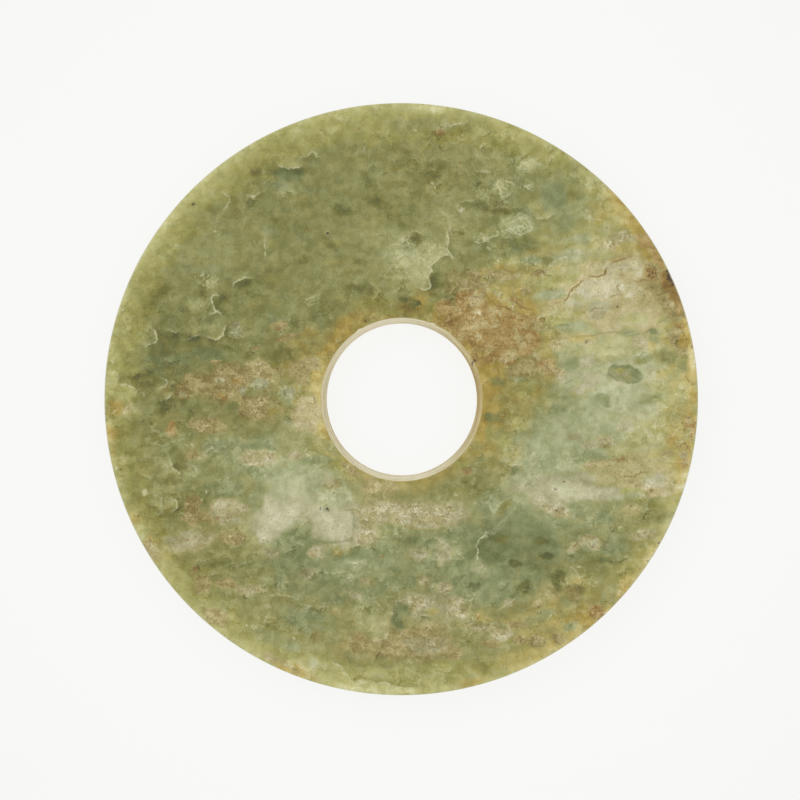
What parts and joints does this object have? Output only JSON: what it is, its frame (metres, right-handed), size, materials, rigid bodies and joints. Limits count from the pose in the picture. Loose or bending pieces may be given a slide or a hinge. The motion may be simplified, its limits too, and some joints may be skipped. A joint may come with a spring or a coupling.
{
  "type": "jade bi disc",
  "caption": "Flat round disc of polished mottled jade with a round hole bored through its middle, an ancient ritual ornament that lies loose on its underside.",
  "frame": {"origin": "middle of the underside, on the plane that the disc rests on", "axes": "+Z along the bore, up out of the polished face that shows; +X and +Y run across the disc"},
  "size_m": [0.1802, 0.1798, 0.0121],
  "materials": {
    "jade": "polished mottled olive-green nephrite with cream and tan cloudy veins, satin in the bore"
  },
  "bodies": {
    "root": {"bi_disc": "jade"}
  },
  "joints": []
}
